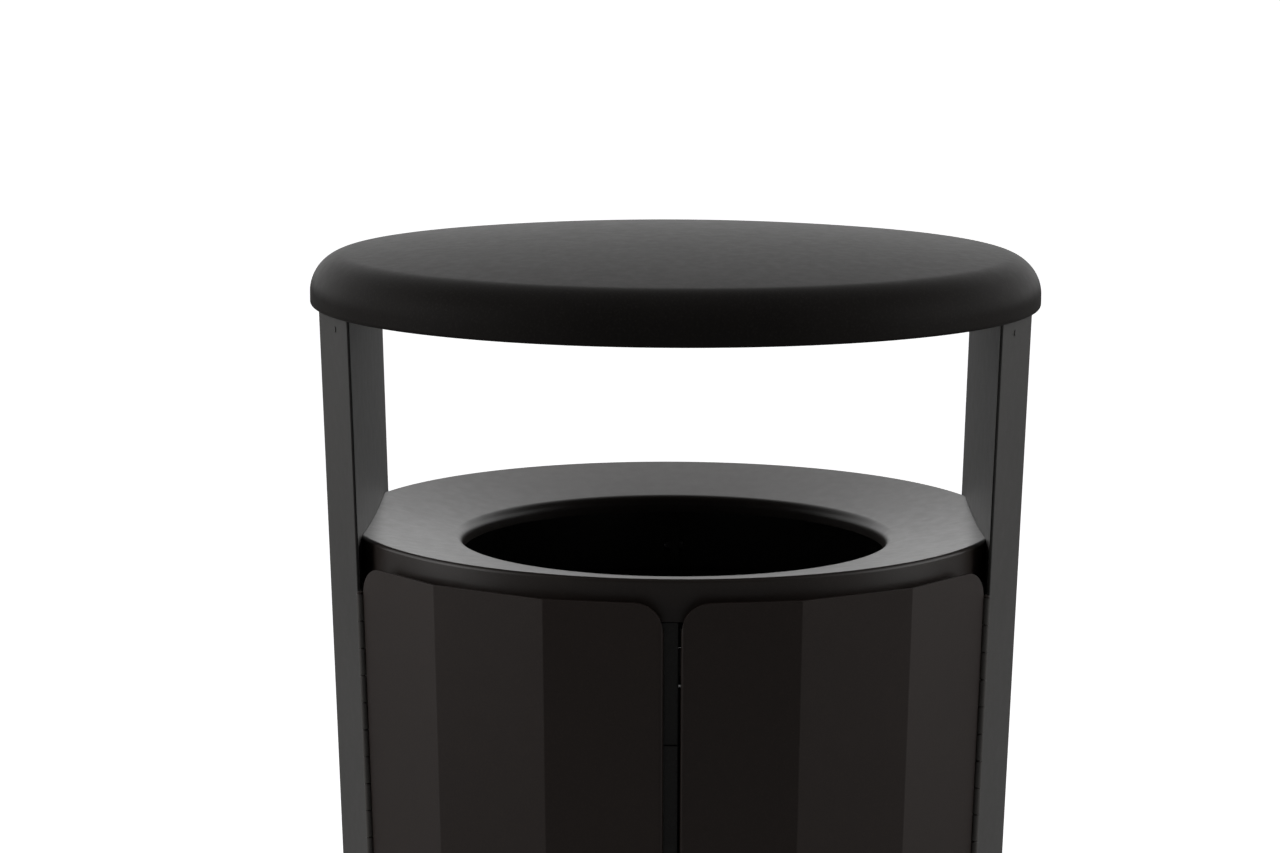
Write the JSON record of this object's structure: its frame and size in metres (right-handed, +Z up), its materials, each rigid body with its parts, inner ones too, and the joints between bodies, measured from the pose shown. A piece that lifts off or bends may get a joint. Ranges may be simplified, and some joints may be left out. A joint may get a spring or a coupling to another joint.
{
  "type": "litter bin",
  "caption": "Round tapered steel litter bin with a domed canopy on two posts, a funnel ring with a round opening, two hinged front doors and an inner liner.",
  "frame": {"origin": "on the ground under the middle of the body, at the level of the foot pads", "axes": "+Z up, front with the two doors facing -Y, the two posts at +X and -X"},
  "size_m": [0.685, 0.685, 1.1195],
  "materials": {
    "body_paint": "fine-texture charcoal powder coat",
    "door_paint": "fine-texture dark charcoal powder coat",
    "canopy_paint": "satin charcoal powder coat",
    "ring_paint": "satin charcoal powder coat",
    "hinge_paint": "fine-texture charcoal powder coat",
    "plated_steel": "zinc plated",
    "liner_plastic": "moulded polyethylene",
    "bumper_rubber": "matt",
    "foot_plastic": "moulded nylon",
    "magnet": "cased magnet"
  },
  "bodies": {
    "bin_frame": {"base_angles": "body_paint", "base_bolts": "plated_steel", "base_nuts": "plated_steel", "base_plate": "body_paint", "canopy": "canopy_paint", "canopy_bolts": "plated_steel", "canopy_nuts": "plated_steel", "door_bumpers": "bumper_rubber", "door_magnets": "magnet", "foot_lock_nuts": "plated_steel", "foot_weld_nuts": "plated_steel", "funnel_ring": "ring_paint", "left_hinge_frame_leaf": "hinge_paint", "left_hinge_pin": "door_paint", "left_post_cap": "body_paint", "left_post_inner_plate": "body_paint", "left_post_shell": "body_paint", "left_rear_panel": "body_paint", "liner": "liner_plastic", "liner_guides": "body_paint", "plinth_front": "body_paint", "plinth_rear": "body_paint", "post_cap_screws": "body_paint", "rear_panel_screws": "plated_steel", "rear_seam_bolts": "plated_steel", "rear_seam_nuts": "plated_steel", "rear_seam_strip": "body_paint", "right_hinge_frame_leaf": "hinge_paint", "right_hinge_pin": "door_paint", "right_post_cap": "body_paint", "right_post_inner_plate": "body_paint", "right_post_shell": "body_paint", "right_rear_panel": "body_paint", "ring_bolts": "plated_steel", "ring_nuts": "plated_steel", "tie_band": "body_paint"},
    "left_door": {"left_door_skin": "door_paint", "left_hinge_door_leaf": "hinge_paint", "left_door_stiffeners": "body_paint", "left_door_strike": "body_paint", "door_closing_strip": "body_paint"},
    "right_door": {"right_door_skin": "door_paint", "right_hinge_door_leaf": "hinge_paint", "right_door_stiffeners": "body_paint", "right_door_strike": "body_paint", "lock_housing": "plated_steel", "lock_nut": "plated_steel"},
    "lock_core": {"lock_plug": "plated_steel", "lock_cam": "plated_steel", "cam_screw": "plated_steel"},
    "front_left_foot": {"front_left_foot_pad": "foot_plastic", "front_left_foot_stud": "plated_steel"},
    "front_right_foot": {"front_right_foot_pad": "foot_plastic", "front_right_foot_stud": "plated_steel"},
    "rear_left_foot": {"rear_left_foot_pad": "foot_plastic", "rear_left_foot_stud": "plated_steel"},
    "rear_right_foot": {"rear_right_foot_pad": "foot_plastic", "rear_right_foot_stud": "plated_steel"}
  },
  "joints": [
    {"name": "left_door_swing", "type": "hinge", "parent": "bin_frame", "child": "left_door", "pos_m": [-0.26405, -0.15245, 0.1198], "axis": [0.0286, 0.0165, -0.9995], "range_deg": [0, 110]},
    {"name": "right_door_swing", "type": "hinge", "parent": "bin_frame", "child": "right_door", "pos_m": [0.26405, -0.15245, 0.1198], "axis": [0.0286, -0.0165, 0.9995], "range_deg": [0, 110]},
    {"name": "lock_cam_turn", "type": "hinge", "parent": "right_door", "child": "lock_core", "pos_m": [0.03604, -0.3096, 0.47], "axis": [-0.1736, 0.9843, 0.0325], "range_deg": [0, 90]},
    {"name": "front_left_foot_screw", "type": "slide", "parent": "bin_frame", "child": "front_left_foot", "axis": [0, 0, -1], "range_m": [0, 0.012]},
    {"name": "front_right_foot_screw", "type": "slide", "parent": "bin_frame", "child": "front_right_foot", "axis": [0, 0, -1], "range_m": [0, 0.012]},
    {"name": "rear_left_foot_screw", "type": "slide", "parent": "bin_frame", "child": "rear_left_foot", "axis": [0, 0, -1], "range_m": [0, 0.012]},
    {"name": "rear_right_foot_screw", "type": "slide", "parent": "bin_frame", "child": "rear_right_foot", "axis": [0, 0, -1], "range_m": [0, 0.012]}
  ]
}
